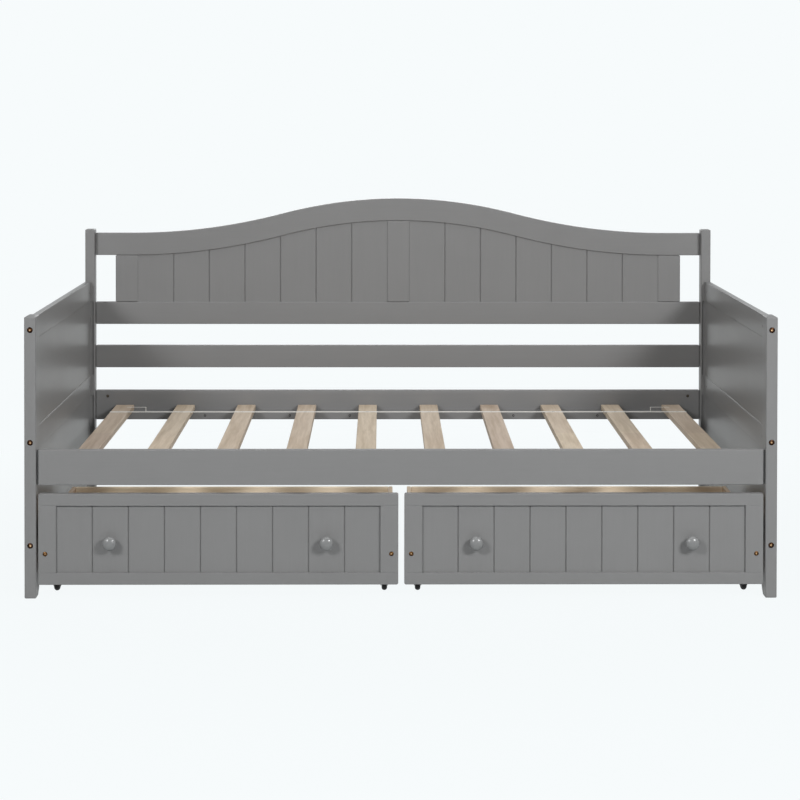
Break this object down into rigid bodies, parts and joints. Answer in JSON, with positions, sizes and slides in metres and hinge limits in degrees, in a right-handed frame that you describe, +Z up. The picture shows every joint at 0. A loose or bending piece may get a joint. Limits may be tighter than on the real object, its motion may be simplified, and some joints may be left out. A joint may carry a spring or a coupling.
{
  "type": "storage daybed",
  "caption": "Painted wooden twin daybed: panelled ends, arched beadboard back, slatted base and drawers with round knobs that roll out at the front on casters.",
  "frame": {"origin": "on the floor, under the middle of the bounding box", "axes": "+X to the right of someone facing the front, along the bed; -Y to the front, where the drawers open; +Z up"},
  "size_m": [2.004, 1.105, 1.0109],
  "materials": {
    "grey_paint": "solid pine and board, sprayed with a satin mid-grey paint",
    "knob_paint": "turned wood, the same grey in a glossier coat",
    "slat_wood": "raw planed softwood, pale brown with visible grain",
    "drawer_wood": "raw pale pine boards and thin ply",
    "caster_plastic": "moulded black plastic",
    "bronze_bolt": "antique bronze plated bolt heads",
    "dark_steel": "blackened steel barrel nuts, screws, staples and caster pins",
    "strap_webbing": "thin white woven ribbon"
  },
  "bodies": {
    "bed_frame": {"front_post_left": "grey_paint", "back_post_left": "grey_paint", "end_top_rail_left": "grey_paint", "end_upper_panel_left": "grey_paint", "end_middle_rail_left": "grey_paint", "end_lower_panel_left": "grey_paint", "end_bottom_rail_left": "grey_paint", "front_post_right": "grey_paint", "back_post_right": "grey_paint", "end_top_rail_right": "grey_paint", "end_upper_panel_right": "grey_paint", "end_middle_rail_right": "grey_paint", "end_lower_panel_right": "grey_paint", "end_bottom_rail_right": "grey_paint", "crest_rail": "grey_paint", "back_stile_left": "grey_paint", "back_stile_middle": "grey_paint", "back_stile_right": "grey_paint", "back_beadboard_left": "grey_paint", "back_beadboard_right": "grey_paint", "back_upper_rail": "grey_paint", "back_lower_rail": "grey_paint", "back_side_rail": "grey_paint", "front_side_rail": "grey_paint", "ledger_front": "grey_paint", "ledger_back": "grey_paint", "slat_01": "slat_wood", "slat_02": "slat_wood", "slat_03": "slat_wood", "slat_04": "slat_wood", "slat_05": "slat_wood", "slat_06": "slat_wood", "slat_07": "slat_wood", "slat_08": "slat_wood", "slat_09": "slat_wood", "slat_10": "slat_wood"},
    "drawer_left": {"drawer_left_front_frame": "grey_paint", "drawer_left_beadboard": "grey_paint", "drawer_left_knob_left": "knob_paint", "drawer_left_knob_right": "knob_paint", "drawer_left_side_left": "drawer_wood", "drawer_left_side_right": "drawer_wood", "drawer_left_back": "drawer_wood", "drawer_left_floor": "drawer_wood"},
    "drawer_left_wheel_front_left_turning": {"drawer_left_wheel_front_left": "caster_plastic"},
    "drawer_left_wheel_front_right_turning": {"drawer_left_wheel_front_right": "caster_plastic"},
    "drawer_left_wheel_back_left_turning": {"drawer_left_wheel_back_left": "caster_plastic"},
    "drawer_left_wheel_back_right_turning": {"drawer_left_wheel_back_right": "caster_plastic"},
    "drawer_right": {"drawer_right_front_frame": "grey_paint", "drawer_right_beadboard": "grey_paint", "drawer_right_knob_left": "knob_paint", "drawer_right_knob_right": "knob_paint", "drawer_right_side_left": "drawer_wood", "drawer_right_side_right": "drawer_wood", "drawer_right_back": "drawer_wood", "drawer_right_floor": "drawer_wood"},
    "drawer_right_wheel_front_left_turning": {"drawer_right_wheel_front_left": "caster_plastic"},
    "drawer_right_wheel_front_right_turning": {"drawer_right_wheel_front_right": "caster_plastic"},
    "drawer_right_wheel_back_left_turning": {"drawer_right_wheel_back_left": "caster_plastic"},
    "drawer_right_wheel_back_right_turning": {"drawer_right_wheel_back_right": "caster_plastic"}
  },
  "joints": [
    {"name": "drawer_left_slide", "type": "slide", "parent": "bed_frame", "child": "drawer_left", "axis": [0, -1, 0], "range_m": [0, 0.45]},
    {"name": "drawer_left_wheel_front_left_spin", "type": "hinge", "parent": "drawer_left", "child": "drawer_left_wheel_front_left_turning", "pos_m": [-0.929, -0.4375, 0.02], "axis": [1, 0, 0], "continuous": true},
    {"name": "drawer_left_wheel_front_right_spin", "type": "hinge", "parent": "drawer_left", "child": "drawer_left_wheel_front_right_turning", "pos_m": [-0.045, -0.4375, 0.02], "axis": [1, 0, 0], "continuous": true},
    {"name": "drawer_left_wheel_back_left_spin", "type": "hinge", "parent": "drawer_left", "child": "drawer_left_wheel_back_left_turning", "pos_m": [-0.929, -0.1005, 0.02], "axis": [1, 0, 0], "continuous": true},
    {"name": "drawer_left_wheel_back_right_spin", "type": "hinge", "parent": "drawer_left", "child": "drawer_left_wheel_back_right_turning", "pos_m": [-0.045, -0.1005, 0.02], "axis": [1, 0, 0], "continuous": true},
    {"name": "drawer_right_slide", "type": "slide", "parent": "bed_frame", "child": "drawer_right", "axis": [0, -1, 0], "range_m": [0, 0.45]},
    {"name": "drawer_right_wheel_front_left_spin", "type": "hinge", "parent": "drawer_right", "child": "drawer_right_wheel_front_left_turning", "pos_m": [0.045, -0.4375, 0.02], "axis": [1, 0, 0], "continuous": true},
    {"name": "drawer_right_wheel_front_right_spin", "type": "hinge", "parent": "drawer_right", "child": "drawer_right_wheel_front_right_turning", "pos_m": [0.929, -0.4375, 0.02], "axis": [1, 0, 0], "continuous": true},
    {"name": "drawer_right_wheel_back_left_spin", "type": "hinge", "parent": "drawer_right", "child": "drawer_right_wheel_back_left_turning", "pos_m": [0.045, -0.1005, 0.02], "axis": [1, 0, 0], "continuous": true},
    {"name": "drawer_right_wheel_back_right_spin", "type": "hinge", "parent": "drawer_right", "child": "drawer_right_wheel_back_right_turning", "pos_m": [0.929, -0.1005, 0.02], "axis": [1, 0, 0], "continuous": true}
  ],
  "couplings": [
    {"joint": "drawer_left_wheel_front_left_spin", "follows": "drawer_left_slide", "rad_per_m": 50},
    {"joint": "drawer_left_wheel_front_right_spin", "follows": "drawer_left_slide", "rad_per_m": 50},
    {"joint": "drawer_left_wheel_back_left_spin", "follows": "drawer_left_slide", "rad_per_m": 50},
    {"joint": "drawer_left_wheel_back_right_spin", "follows": "drawer_left_slide", "rad_per_m": 50},
    {"joint": "drawer_right_wheel_front_left_spin", "follows": "drawer_right_slide", "rad_per_m": 50},
    {"joint": "drawer_right_wheel_front_right_spin", "follows": "drawer_right_slide", "rad_per_m": 50},
    {"joint": "drawer_right_wheel_back_left_spin", "follows": "drawer_right_slide", "rad_per_m": 50},
    {"joint": "drawer_right_wheel_back_right_spin", "follows": "drawer_right_slide", "rad_per_m": 50}
  ]
}
